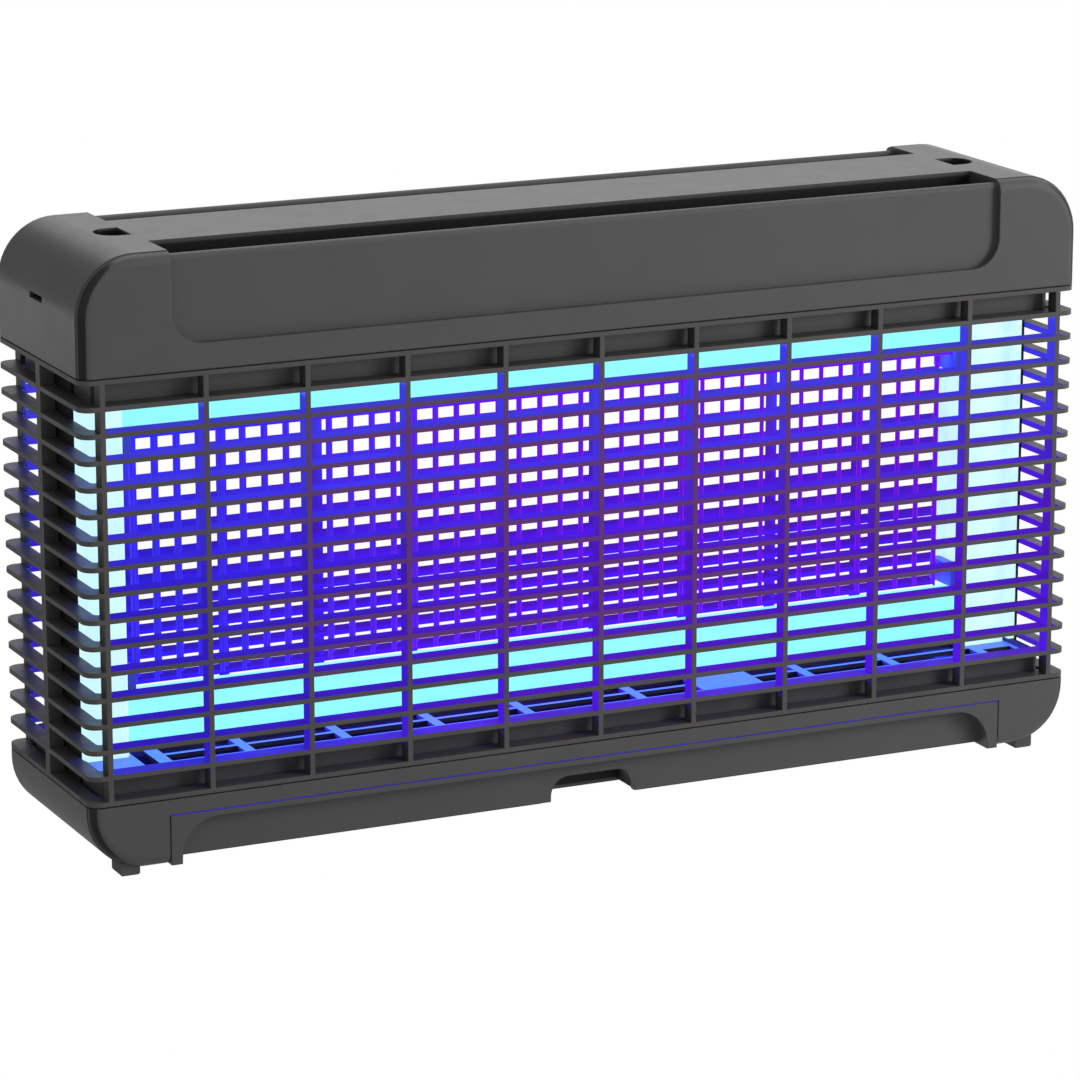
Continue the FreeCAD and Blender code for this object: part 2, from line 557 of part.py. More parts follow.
def make_base_shell():
    body = new_body("base_shell")
    shell_block(body, "foot_height", "base_top", round_top=False)
    fascia_back = "-width/2 + fascia_thickness + slide_gap"
    cut_box(body, "fascia_bay", "-fascia_half - slide_gap", "fascia_half + slide_gap", "-width/2 - 1",
            fascia_back, "foot_height - 1", "fascia_top + slide_gap")
    cut_box(body, "pan_bay", "-pan_half - slide_gap", "pan_half + slide_gap",
            fascia_back, "pan_back + slide_gap", "pan_floor - 0.3", "base_top + 1")
    cut_box(body, "notch_bay", "-notch_half - 3", "notch_half + 3", fascia_back,
            "-width/2 + scoop_depth + notch_depth + 2", "foot_height - 1", "pan_floor")
    for sx in (-1, 1):
        near, far = "fascia_half + 6", "(length - corner_radius)/2"
        for sy in (-1, 1):
            ends = (near, far) if sx > 0 else (f"-({far})", f"-({near})")
            sides = ("22", "width/2 - 8") if sy > 0 else ("-width/2 + 8", "-22")
            cut_box(body, "end_pocket", *ends, *sides, "12", "base_top + 1")
            place = (f"{sx}*base_screw_x", f"{sy}*base_screw_y")
            cut_rod(body, "screw_hole", "screw_radius + 0.2", "foot_height - 1", "base_top + 1", place, "Z")
            cut_rod(body, "head_recess", "head_radius + 0.5", "foot_height - 1", "12", place, "Z")
            foot = (f"{sx}*{'foot_x' if sy < 0 else 'rear_foot_x'}", f"{sy}*foot_y")
            cut_box(body, "foot_socket", f"{foot[0]} - foot_half_x", f"{foot[0]} + foot_half_x",
                    f"{foot[1]} - foot_half_y", f"{foot[1]} + foot_half_y", "foot_height - 1", "foot_socket")
    return body


def notch_outline(body, name, half, top, radius):
    corners = [(f"-({half})", "foot_height - 2", "0"), (half, "foot_height - 2", "0"),
               (half, top, radius), (f"-({half})", top, radius)]
    return outline(body, name, "XZ_Plane", "width/2 + 1", corners)


def make_tray_front():
    """The tray's fascia with its arched scoop and the start of the finger notch."""
    body = new_body("tray_front")
    add_box(body, "block", "-fascia_half", "fascia_half", "-width/2", "-width/2 + fascia_thickness",
            "foot_height", "fascia_top")
    scoop = notch_outline(body, "scoop_outline", "scoop_half", "scoop_top", "scoop_radius")
    extrude(body, "scoop", "Pocket", scoop, "scoop_depth + 1")
    cut_box(body, "lower_edge", "-scoop_half", "scoop_half", "-width/2 - 1",
            "-width/2 + fascia_thickness + 1", "foot_height - 1", "foot_height + 1.5")
    notch = notch_outline(body, "notch_outline", "notch_half", "notch_top", "notch_radius")
    extrude(body, "notch", "Pocket", notch, "fascia_thickness + 2")
    return body


def make_tray_pan():
    """The shallow pan that catches what falls, with the back of the finger notch in its floor."""
    body = new_body("tray_pan")
    front = "-width/2 + fascia_thickness"
    back_of_notch = "-width/2 + scoop_depth + notch_depth"
    add_box(body, "block", "-pan_half", "pan_half", front, "pan_back", "pan_floor", "pan_top")
    cut_box(body, "inside", "-pan_half + pan_wall", "pan_half - pan_wall", f"{front} + pan_wall",
            "pan_back - pan_wall", "pan_floor + pan_wall", "pan_top + 1")
    add_box(body, "notch_walls", "-notch_half - pan_wall", "notch_half + pan_wall", front,
            f"{back_of_notch} + pan_wall", "pan_floor", "notch_top + pan_wall")
    notch = notch_outline(body, "notch_outline", "notch_half", "notch_top", "notch_radius")
    extrude(body, "notch", "Pocket", notch, "scoop_depth + notch_depth + 1")
    return body


def make_foot(label):
    """The front right-hand foot, let into the base and rounded where it meets the ground."""
    body = new_body(label)
    add_box(body, "block", "foot_x - foot_half_x", "foot_x + foot_half_x",
            "-foot_y - foot_half_y", "-foot_y + foot_half_y", "0", "foot_socket")
    round_edges(body, "ground_rounding", "1.5", lambda edge: lies_at(edge, z=0))
    return body


# ---------------------------------------------------------------- fasteners and hangers

def make_screws(label, x, y, head_low, head_high, tip):
    """Four screws standing upright, heads down, at (+-x, +-y)."""
    screws = []
    for sx in ("-", ""):
        for sy in ("-", ""):
            place = (f"{sx}{x}", f"{sy}{y}")
            screw = doc.addObject("Part::Fuse", "screw")
            screw.Base = loose_rod("head", "head_radius", head_low, head_high, place, "Z")
            screw.Tool = loose_rod("shank", "screw_radius", head_high, tip, place, "Z")
            screws.append(screw)
    return group(label, screws)


def make_hanger(label, sign):
    centre = f"{sign}(socket_inner + socket_outer)/2"
    pin = loose_rod(label, "hanger_radius", "-socket_half - 2.5", "socket_half + 2.5",
                    (centre, "hanger_level"), "Y")
    pin.Label = label
    return pin


# ---------------------------------------------------------------- electrical parts

def make_ballast():
    """The twin-tube ballast: a sheet-metal can on two mounting ears."""
    body = new_body("tube_ballast")
    add_box(body, "ears", "-ballast_outer - ballast_ear", "-ballast_inner + ballast_ear",
            "-ballast_half", "ballast_half", "deck_top", "deck_top + 1.2")
    add_box(body, "can", "-ballast_outer", "-ballast_inner", "-ballast_half", "ballast_half",
            "deck_top", "deck_top + ballast_height")
    top = value("deck_top + ballast_height")
    round_edges(body, "can_rounding", "2", lambda edge: lies_at(edge, z=top))
    return body


def make_transformer():
    """The step-up transformer: a laminated core round a wound bobbin."""
    body = new_body("hv_transformer")
    add_box(body, "core", "core_left", "core_right", "-core_half", "core_half",
            "deck_top", "deck_top + core_height")
    add_box(body, "winding", "core_left + winding_inset", "core_right - winding_inset",
            "-winding_half", "winding_half", "deck_top + winding_inset",
            "deck_top + core_height - winding_inset")
    add_box(body, "ears", "core_left - winding_inset", "core_right + winding_inset",
            "-core_half", "core_half", "deck_top", "deck_top + 1.5")
    return body


def make_board():
    board = loose_box("hv_board", "board_left", "board_right", "-board_half", "board_half",
                      "deck_top + board_post", "deck_top + board_post + board_thickness")
    board.Label = "hv_board"
    return board


def make_capacitors():
    foot = "deck_top + board_post + board_thickness"
    cans = [loose_rod("capacitor", "can_radius", foot, f"{foot} + can_height",
                      (f"can_first + {i}*can_pitch", "can_y"), "Z") for i in range(3)]
    return group("hv_capacitors", cans)


def make_terminal_block():
    body = new_body("terminal_block")
    top = "deck_top + terminal_height"
    add_box(body, "block", "terminal_left", "terminal_right", "terminal_far", "terminal_near",
            "deck_top", top)
    first = ("terminal_left + well_pitch/2", "(terminal_near + terminal_far)/2")
    hole = cut_rod(body, "screw_well", "well_radius", f"{top} - 6", f"{top} + 1", first, "Z")
    repeat(body, "screw_wells", hole, "X", "3", "2*well_pitch")
    return body


def make_switch_bezel():
    """A snap-in frame in the rear grip panel, round the rocker and its pivot."""
    body = new_body("switch_bezel")
    panel = "(width/2 - panel_recess)"
    wide, tall = "switch_half + switch_flange + 0.3", "switch_half_height + switch_flange"
    add_box(body, "flange", f"switch_x - ({wide})", f"switch_x + {wide}", panel, f"{panel} + 1.2",
            f"switch_z - ({tall})", f"switch_z + {tall}")
    add_box(body, "barrel", "switch_x - switch_half", "switch_x + switch_half", f"{panel} - 12", panel,
            "switch_z - switch_half_height", "switch_z + switch_half_height")
    cut_box(body, "well", "switch_x - well_half", "switch_x + well_half", f"{panel} - 7", f"{panel} + 2",
            "switch_z - well_half_height", "switch_z + well_half_height")
    cut_rod(body, "pivot_hole", "pivot_radius + 0.05", "switch_z - pivot_half - 0.1",
            "switch_z + pivot_half + 0.1", ("switch_x", f"{panel} - pivot_depth"), "Z")
    return body


def make_switch_rocker():
    """The rocker: a shallow V with a pivot pin across it, tilted to its on position at rest."""
    pivot = Vector(value("switch_x"), value("width/2 - panel_recess - pivot_depth"), value("switch_z"))
    half = value("well_half_height - 0.4")
    section = [(-5.1, 0.4), (-4.2, 4.9), (0, 4.0), (4.2, 4.9), (5.1, 0.4), (2.4, -2.2), (-2.4, -2.2)]
    points = [Vector(x, y, -half) for x, y in section]
    paddle = Part.Face(Part.makePolygon(points + points[:1])).extrude(Vector(0, 0, 2 * half))
    reach = value("pivot_half")
    pin = Part.makeCylinder(value("pivot_radius"), 2 * reach, Vector(0, 0, -reach))
    rocker = doc.addObject("Part::Feature", "switch_rocker")
    rocker.Label = "switch_rocker"
    rocker.Shape = paddle.fuse(pin)
    rocker.Placement = Placement(pivot, Rotation(Vector(0, 0, 1), -7))
    return rocker


def make_cord_inlet():
    """The bush through which a mains cord would enter: a flanged sleeve in the rear grip panel."""
    body = new_body("cord_inlet")
    panel = "(width/2 - panel_recess)"
    centre = ("inlet_x", "switch_z")
    add_rod(body, "flange", "inlet_radius", panel, f"{panel} + inlet_flange", centre, "Y")
    add_rod(body, "sleeve", "inlet_radius - 1.5", f"{panel} - 10", panel, centre, "Y")
    cut_rod(body, "bore", "inlet_bore", f"{panel} - 11", f"{panel} + inlet_flange + 1", centre, "Y")
    return body


# ---------------------------------------------------------------- assembly

def turned(body):
    """The same piece on the opposite end or face: turned half round about the upright axis."""
    body.Placement = HALF_TURN
    return body


def make_all():
    nodes = [make_top_cover(), make_top_deck(), make_grille("front_grille"),
             turned(make_grille("rear_grille")), make_lamp_column("right_lamp_column"),
             turned(make_lamp_column("left_lamp_column")), make_end_plate("right_end_plate"),
             turned(make_end_plate("left_end_plate")), make_end_plate_screws()]
    for name, axis in (("upper", "upper_axis"), ("lower", "lower_axis")):
        nodes += make_tube(name, axis)
        nodes.append(make_lampholder(f"{name}_right_lampholder", axis))
        nodes.append(turned(make_lampholder(f"{name}_left_lampholder", axis)))
    nodes += [make_rod_grid("front_rod_grid", "-"), make_rod_grid("rear_rod_grid", "")]
    blocks = (("upper", "high", ("insulator_high - insulator_height", "insulator_high")),
              ("lower", "low", ("insulator_low", "insulator_low + insulator_height")))
    for name, level, span in blocks:
        nodes.append(make_insulator(f"{name}_right_insulator", level, span, ("front", "rear")))
        nodes.append(turned(make_insulator(f"{name}_left_insulator", level, span, ("rear", "front"))))
    nodes += [make_floor_grate(), make_base_shell(), make_tray_front(), make_tray_pan()]
    nodes += make_feet()
    nodes += [make_screws("cover_screws", "cover_screw_x", "cover_screw_y", f"{CAGE_TOP} - 2 - head_height",
                          f"{CAGE_TOP} - 2", "deck_top + 9"),
              make_screws("base_screws", "base_screw_x", "base_screw_y", "12 - head_height", "12",
                          "floor_top - 3"),
              make_hanger("left_hanger_pin", "-"), make_hanger("right_hanger_pin", ""),
              make_ballast(), make_transformer(), make_board(), make_capacitors(),
              make_terminal_block(), make_switch_bezel(), make_switch_rocker(), make_cord_inlet()]
    return nodes


def make_feet():
    """Four feet, each the front right-hand one shifted and turned; the rear pair stands further in."""
    across = Placement(Vector(0, 2 * value("foot_y"), 0), Rotation())
    inward = Placement(Vector(value("rear_foot_x - foot_x"), 0, 0), Rotation())
    corners = ("front_right", "rear_right", "rear_left", "front_left")
    feet = {name: make_foot(f"{name}_foot") for name in corners}
    feet["rear_right"].Placement = inward.multiply(across)
    feet["rear_left"].Placement = HALF_TURN.multiply(inward)
    feet["front_left"].Placement = HALF_TURN.multiply(across)
    return list(feet.values())


def check(nodes):
    doc.recompute()
    for item in doc.Objects:
        if "Invalid" in item.State or "Error" in item.State:
            raise RuntimeError(f"{item.Name} failed: {item.State}")
    for node in nodes:
        if node.Shape.isNull() or not node.Shape.isValid() or not node.Shape.Solids:
            raise RuntimeError(f"{node.Label} has no valid shape")


nodes = make_all()
check(nodes)
for node in nodes:
    node.Shape.exportStep(os.path.join("parts", f"{node.Label}.step"))
    print(f"{node.Label}: {len(node.Shape.Solids)} solids, {node.Shape.Volume / 1000:.1f} cm3")
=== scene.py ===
"""Looks of the electric bug zapper: materials, glow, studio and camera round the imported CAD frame."""

import bmesh
import bpy
from mathutils import Matrix, Vector


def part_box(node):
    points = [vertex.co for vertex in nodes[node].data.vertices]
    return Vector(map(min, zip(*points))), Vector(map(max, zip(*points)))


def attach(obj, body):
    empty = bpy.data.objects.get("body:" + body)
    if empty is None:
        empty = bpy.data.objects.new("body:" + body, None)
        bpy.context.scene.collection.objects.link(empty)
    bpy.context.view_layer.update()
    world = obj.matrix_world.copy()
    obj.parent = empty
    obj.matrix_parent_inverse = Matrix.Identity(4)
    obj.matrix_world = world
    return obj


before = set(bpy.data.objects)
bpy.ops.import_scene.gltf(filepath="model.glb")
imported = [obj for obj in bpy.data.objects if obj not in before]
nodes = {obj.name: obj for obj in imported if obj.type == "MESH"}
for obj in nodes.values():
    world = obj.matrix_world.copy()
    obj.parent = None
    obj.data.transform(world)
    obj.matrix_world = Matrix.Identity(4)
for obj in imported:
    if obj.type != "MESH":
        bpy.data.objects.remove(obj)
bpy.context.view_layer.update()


def add(name, data):
    """A new object in the scene."""
    item = bpy.data.objects.new(name, data)
    bpy.context.scene.collection.objects.link(item)
    return item


# ---------------------------------------------------------------- shader helpers

# Nearly all the values of a noise lie between these two.
NOISE_LOW, NOISE_HIGH = 0.3, 0.7
# The cosine of the angle at which a softened normal counts as fully on an edge.
FULL_EDGE = 0.75
NO_LIGHT = (0.0, 0.0, 0.0)


def shader(name):
    """A fresh material with its node tree and its Principled shader."""
    material = bpy.data.materials.new(name)
    material.use_nodes = True
    tree = material.node_tree
    return material, tree, tree.nodes["Principled BSDF"]


def scaled(tone, factor):
    """A tone made darker or lighter, at most white."""
    return tuple(min(1, channel * factor) for channel in tone)


def noise(tree, scale, detail=3.0, stretch=None):
    """Noise in the part's own coordinates; scale is in features per metre."""
    place = tree.nodes.new("ShaderNodeTexCoord")
    texture = tree.nodes.new("ShaderNodeTexNoise")
    texture.inputs["Scale"].default_value = scale
    texture.inputs["Detail"].default_value = detail
    source = place.outputs["Object"]
    if stretch:
        mapping = tree.nodes.new("ShaderNodeMapping")
        mapping.inputs["Scale"].default_value = stretch
        tree.links.new(source, mapping.inputs["Vector"])
        source = mapping.outputs["Vector"]
    tree.links.new(source, texture.inputs["Vector"])
    return texture.outputs["Fac"]


def ramp(tree, factor, low, high, start=NOISE_LOW, end=NOISE_HIGH):
    """Two tones mixed by a factor: the first up to start, the second from end on."""
    node = tree.nodes.new("ShaderNodeValToRGB")
    node.color_ramp.elements[0].position = start
    node.color_ramp.elements[0].color = (*low, 1)
    node.color_ramp.elements[1].position = end
    node.color_ramp.elements[1].color = (*high, 1)
    tree.links.new(factor, node.inputs["Fac"])
    return node.outputs["Color"]


def mapped(tree, value, start, end, low=0.0, high=1.0, kind="LINEAR"):
    """Low up to start, high from end on, and a slope between them."""
    node = tree.nodes.new("ShaderNodeMapRange")
    node.interpolation_type = kind
    for name, limit in (("From Min", start), ("From Max", end), ("To Min", low), ("To Max", high)):
        node.inputs[name].default_value = limit
    tree.links.new(value, node.inputs["Value"])
    return node.outputs["Result"]


def gate(tree, value, start, end, low=0.0, high=1.0):
    """A smooth step: low up to start, high from end on."""
    return mapped(tree, value, start, end, low, high, "SMOOTHSTEP")


def spread(tree, factor, low, high):
    """A noise stretched to a range of values."""
    return mapped(tree, factor, NOISE_LOW, NOISE_HIGH, low, high)


def combined(tree, operation, *values):
    """Values joined in turn by one operation."""
    result = values[0]
    for value in values[1:]:
        node = tree.nodes.new("ShaderNodeMath")
        node.operation = operation
        tree.links.new(result, node.inputs[0])
        tree.links.new(value, node.inputs[1])
        result = node.outputs["Value"]
    return result


def up_to(tree, value, high, fade):
    """One up to a value, fading to zero past it."""
    return gate(tree, value, high + fade, high)


def between(tree, value, low, high, fade):
    """One inside a range of values, fading to zero past its ends."""
    return combined(tree, "MULTIPLY", gate(tree, value, low - fade, low), up_to(tree, value, high, fade))


def size_of(tree, value):
    """A value without its sign."""
    node = tree.nodes.new("ShaderNodeMath")
    node.operation = "ABSOLUTE"
    tree.links.new(value, node.inputs[0])
    return node.outputs["Value"]


def place_and_facing(tree):
    """The place and the normal in the part's own frame, as separate numbers."""
    source = tree.nodes.new("ShaderNodeTexCoord")
    spot = tree.nodes.new("ShaderNodeSeparateXYZ")
    tree.links.new(source.outputs["Object"], spot.inputs["Vector"])
    facing = tree.nodes.new("ShaderNodeSeparateXYZ")
    tree.links.new(source.outputs["Normal"], facing.inputs["Vector"])
    return spot.outputs, facing.outputs


def blend(tree, factor, below, above):
    """Two colours, each a link or a tone, mixed by a factor."""
    node = tree.nodes.new("ShaderNodeMix")
    node.data_type = "RGBA"
    for name, colour in (("A", below), ("B", above)):
        if isinstance(colour, tuple):
            node.inputs[name].default_value = (*colour, 1)
        else:
            tree.links.new(colour, node.inputs[name])
    tree.links.new(factor, node.inputs["Factor"])
    return node.outputs["Result"]


def edge_amount(tree, softened):
    """How far the softened normal turns from the flat one: above zero along edges only."""
    flat = tree.nodes.new("ShaderNodeNewGeometry")
    dot = tree.nodes.new("ShaderNodeVectorMath")
    dot.operation = "DOT_PRODUCT"
    tree.links.new(softened, dot.inputs[0])
    tree.links.new(flat.outputs["Normal"], dot.inputs[1])
    return mapped(tree, dot.outputs["Value"], 1.0, FULL_EDGE)


def emboss(tree, height, strength, distance, normal=None):
    """Gives the surface small bumps, on top of another normal if there is one."""
    bump = tree.nodes.new("ShaderNodeBump")
    bump.inputs["Strength"].default_value = strength
    bump.inputs["Distance"].default_value = distance
    tree.links.new(height, bump.inputs["Height"])
    if normal:
        tree.links.new(normal, bump.inputs["Normal"])
    tree.links.new(bump.outputs["Normal"], tree.nodes["Principled BSDF"].inputs["Normal"])


# ---------------------------------------------------------------- kinds of material

def moulded(name, tone, roughness=0.45, edge=0.0005, grain=0.12, edge_wear_and_shade=1.5, vary=0.14, specular=0.5,
            uneven=0.06):
    """Moulded plastic: a fine grain, a faintly uneven tone, and softened edges at a factor times the tone:
    above one lighter as edge wear, below one darker as painted shade along the edges.
    """
    material, tree, body = shader(name)
    body.inputs["Specular IOR Level"].default_value = specular
    bevel = tree.nodes.new("ShaderNodeBevel")
    bevel.samples = 4
    bevel.inputs["Radius"].default_value = edge
    softened = bevel.outputs["Normal"]
    emboss(tree, noise(tree, scale=1500, detail=2), strength=grain, distance=0.0002, normal=softened)
    base = ramp(tree, noise(tree, scale=35, detail=5), scaled(tone, 1 - vary), scaled(tone, 1 + vary))
    worn_and_shaded = blend(tree, edge_amount(tree, softened), base, scaled(tone, edge_wear_and_shade))
    tree.links.new(worn_and_shaded, body.inputs["Base Color"])
    patches = noise(tree, scale=90, detail=4)
    tree.links.new(spread(tree, patches, roughness - uneven, roughness + uneven), body.inputs["Roughness"])
    return material


def metal(name, tone, roughness, stretch, dark=0.75, uneven=0.08):
    """Drawn or brushed metal: streaks of a darker tone, drawn out by the stretch."""
    material, tree, body = shader(name)
    body.inputs["Metallic"].default_value = 1.0
    streaks = noise(tree, scale=900, detail=4, stretch=stretch)
    tree.links.new(ramp(tree, streaks, scaled(tone, dark), tone), body.inputs["Base Color"])
    tree.links.new(spread(tree, streaks, roughness - uneven, roughness + uneven), body.inputs["Roughness"])
    emboss(tree, streaks, strength=0.15, distance=0.0001)
    return material


def glowing(name, tone, glow, strength, vary=0.08, roughness=0.3, scale=60, tone_vary=0.05):
    """A lit surface: its glow and its tone vary a little over it."""
    material, tree, body = shader(name)
    body.inputs["Roughness"].default_value = roughness
    body.inputs["Emission Strength"].default_value = strength
    patches = noise(tree, scale)
    tree.links.new(ramp(tree, patches, scaled(glow, 1 - vary), glow), body.inputs["Emission Color"])
    tree.links.new(ramp(tree, patches, scaled(tone, 1 - tone_vary), tone), body.inputs["Base Color"])
    return material


def light_only(name):
    """A material that gives off light and reflects none, with its tree and its shader."""
    material, tree, body = shader(name)
    body.inputs["Base Color"].default_value = (0, 0, 0, 1)
    body.inputs["Specular IOR Level"].default_value = 0.0
    body.inputs["Emission Strength"].default_value = 1.0
    return material, tree, body


def repaint(material, mask, tone):
    """Takes the base colour to a tone where the mask is on."""
    tree = material.node_tree
    colour = tree.nodes["Principled BSDF"].inputs["Base Color"]
    tree.links.new(blend(tree, mask, colour.links[0].from_socket, tone), colour)


def reshine(material, mask, specular):
    """Takes the shine to a level where the mask is on."""
    tree = material.node_tree
    level = tree.nodes["Principled BSDF"].inputs["Specular IOR Level"]
    tree.links.new(gate(tree, mask, 0, 1, level.default_value, specular), level)


def give_off(material, colour):
    """Makes a linked colour the material's own glow."""
    tree = material.node_tree
    body = tree.nodes["Principled BSDF"]
    tree.links.new(colour, body.inputs["Emission Color"])
    body.inputs["Emission Strength"].default_value = 1.0


# ---------------------------------------------------------------- painted light and shade that change over a part

# Most spans are (low, high, fade) in metres along one axis of the part's frame. A fillet's are in the
# size of a normal's Y and X. A span without its low or its fade has that one left out.
FILLET_ACROSS, FILLET_ALONG = (0.35, 0.85, 0.12), (0.25, 0.45)
TROUGH_ACROSS, TROUGH_END, TROUGH_UP = (0.0264, 0.0462, 0.0006), (0.2066, 0.0006), (0.250, 0.2785, 0.0015)
SOCKET_EDGE, SOCKET_ALONG, SOCKET_UP = (0.0095, 0.0003), (0.2078, 0.2222, 0.0003), (0.262, 0.2795, 0.001)
# Painted shade: the near-black tone that stands for the shade in troughs, sockets and corner fillets.
HOLLOW_SHADE_TONE = (0.009, 0.009, 0.009)

# A normal's Y or Z counts as turned that way from the first to the second of these.
SIDEWAYS_START, SIDEWAYS_FULL = 0.3, 0.7
UPWARD_START, UPWARD_FULL = 0.3, 0.8

# Painted light: where and in what colours the tubes' glow is painted on the grilles as their emission and
# base tone.
CAGE_LIT_X, CAGE_LIT_Z = (-0.2385, 0.2435, 0.002), (0.050, 0.210, 0.004)
CAGE_LEFT_GLOW, CAGE_MAIN_GLOW = (0.030, 0.012, 0.50), (0.075, 0.008, 0.50)
CAGE_UPPER_GLOW = (0.050, 0.045, 0.58)
CAGE_LEFT_TO_MAIN, CAGE_MAIN_TO_UPPER = (-0.2, 0.0), (0.12, 0.2)
CAGE_LIT_TONE = (0.010, 0.006, 0.04)
BLEED_X, BLEED_Z = (-0.09, 0.11, 0.13), (0.095, 0.190, 0.022)
BLEED_GLOW, BLEED_TONE = (0.040, 0.002, 0.095), (0.030, 0.008, 0.030)

# Painted light: the tubes' glow painted on the floor grate's top.
FLOOR_TOP_Z, FLOOR_SLOTS_Y = (0.0434, 0.0450, 0.0006), (-0.0405, 0.0405, 0.001)
FLOOR_EDGE_GLOW, FLOOR_BAR_GLOW = (0.028, 0.03, 0.62), (0.075, 0.20, 0.80)
FLOOR_LIT_TONE = (0.01, 0.02, 0.05)

# Painted light: the tubes' glow painted on the grid's wires.
ROD_LEFT_GLOW, ROD_MAIN_GLOW = (0.02, 0.02, 0.45), (0.13, 0.002, 0.42)
ROD_LEFT_TO_MAIN = (-0.2, 0.04)


def corner_fillets(tree, spot, facing):
    """The rounded edges between a long face and an end."""
    return combined(tree, "MULTIPLY", between(tree, size_of(tree, facing["Y"]), *FILLET_ACROSS),
                    gate(tree, size_of(tree, facing["X"]), *FILLET_ALONG))


def shell_hollows(tree, spot, facing):
    """The places of a plain shell that get painted shade: its corner fillets."""
    return [corner_fillets(tree, spot, facing)]


def cover_hollows(tree, spot, facing):
    """The places of the top cover that get painted shade: corner fillets, grip troughs and suspension
    sockets.
    """
    across, along = size_of(tree, spot["Y"]), size_of(tree, spot["X"])
    trough = combined(tree, "MULTIPLY", between(tree, across, *TROUGH_ACROSS),
                      up_to(tree, along, *TROUGH_END), between(tree, spot["Z"], *TROUGH_UP))
    socket = combined(tree, "MULTIPLY", up_to(tree, across, *SOCKET_EDGE),
                      between(tree, along, *SOCKET_ALONG), between(tree, spot["Z"], *SOCKET_UP))
    return [corner_fillets(tree, spot, facing), trough, socket]


def paint_hollow_shade(material, hollows, specular):
    """Paints shade into a part's hollows: lowers its tone and its shine there."""
    tree = material.node_tree
    spot, facing = place_and_facing(tree)
    mask = combined(tree, "MAXIMUM", *hollows(tree, spot, facing))
    repaint(material, mask, HOLLOW_SHADE_TONE)
    reshine(material, mask, specular)
    return material


def lit_cage(material, outward):
    """Paints the tubes' glow on the inner faces of a grille, and its faint bleed over the outer ones, as the
    grille's own emission and base tone.
    """
    tree = material.node_tree
    spot, facing = place_and_facing(tree)
    start, full = outward * SIDEWAYS_START, outward * SIDEWAYS_FULL
    inside = combined(tree, "MULTIPLY", gate(tree, facing["Y"], full, start),
                      between(tree, spot["X"], *CAGE_LIT_X), between(tree, spot["Z"], *CAGE_LIT_Z))
    bleed = combined(tree, "MULTIPLY", gate(tree, facing["Y"], start, full),
                     between(tree, spot["X"], *BLEED_X), between(tree, spot["Z"], *BLEED_Z))
    glow = ramp(tree, gate(tree, spot["X"], *CAGE_LEFT_TO_MAIN), CAGE_LEFT_GLOW, CAGE_MAIN_GLOW, 0.0, 1.0)
    glow = blend(tree, gate(tree, spot["Z"], *CAGE_MAIN_TO_UPPER), glow, CAGE_UPPER_GLOW)
    uneven = combined(tree, "MULTIPLY", inside, spread(tree, noise(tree, scale=25, detail=2), 0.8, 1.0))
    glow = blend(tree, uneven, NO_LIGHT, glow)
    give_off(material, blend(tree, bleed, glow, BLEED_GLOW))
    repaint(material, bleed, BLEED_TONE)
    repaint(material, inside, CAGE_LIT_TONE)
    reshine(material, inside, 0.0)
    return material


def lit_floor(material):
    """Paints the tubes' glow on the floor's top as its emission and base tone: light blue on its bars, deeper
    along its front and rear edges.
    """
    tree = material.node_tree
    spot, facing = place_and_facing(tree)
    mask = combined(tree, "MULTIPLY", gate(tree, facing["Z"], UPWARD_START, UPWARD_FULL),
                    between(tree, spot["Z"], *FLOOR_TOP_Z))
    glow = ramp(tree, between(tree, spot["Y"], *FLOOR_SLOTS_Y), FLOOR_EDGE_GLOW, FLOOR_BAR_GLOW, 0.0, 1.0)
    give_off(material, blend(tree, mask, NO_LIGHT, glow))
    repaint(material, mask, FLOOR_LIT_TONE)
    return material


def lit_rods(material):
    """Paints the tubes' glow on the grid's wires as their emission, from blue at the left to violet."""
    tree = material.node_tree
    spot, _ = place_and_facing(tree)
    rightward = gate(tree, spot["X"], *ROD_LEFT_TO_MAIN)
    give_off(material, ramp(tree, rightward, ROD_LEFT_GLOW, ROD_MAIN_GLOW, 0.0, 1.0))
    return material


# ---------------------------------------------------------------- materials of the CAD nodes

# The housing's and the grille's edge factors below one paint shade along their edges.
HOUSING = {"tone": (0.034, 0.034, 0.035), "roughness": 0.34, "edge": 0.0008, "edge_wear_and_shade": 0.75,
           "vary": 0.04, "specular": 0.36, "uneven": 0.015}
GRILLE = {"tone": (0.033, 0.031, 0.030), "roughness": 0.45, "edge": 0.0005, "edge_wear_and_shade": 0.9,
          "vary": 0.08, "specular": 0.34}
DEEP_BLACK = (0.006, 0.006, 0.007)
# How dense a metal's noise is along X, Y and Z: streaks run along an axis with a small number.
ALONG_X, ALONG_Z, NO_STREAKS = (0.1, 1, 1), (1, 1, 0.08), (1, 1, 1)
LAMINATED = (0.05, 3, 0.05)


def dress(material, *names):
    """Gives a material to CAD nodes."""
    for name in names:
        for slot in nodes[name].material_slots:
            slot.material = material


def four_of(kind, rows):
    """The names of the nodes of a kind that stands left and right in two rows."""
    return [f"{row}_{end}_{kind}" for row in rows for end in ("left", "right")]


dress(paint_hollow_shade(moulded("cover_satin", **HOUSING), cover_hollows, specular=0.12), "top_cover")
dress(paint_hollow_shade(moulded("housing_satin", **HOUSING), shell_hollows, specular=0.2),
      "top_deck", "base_shell", "tray_front")
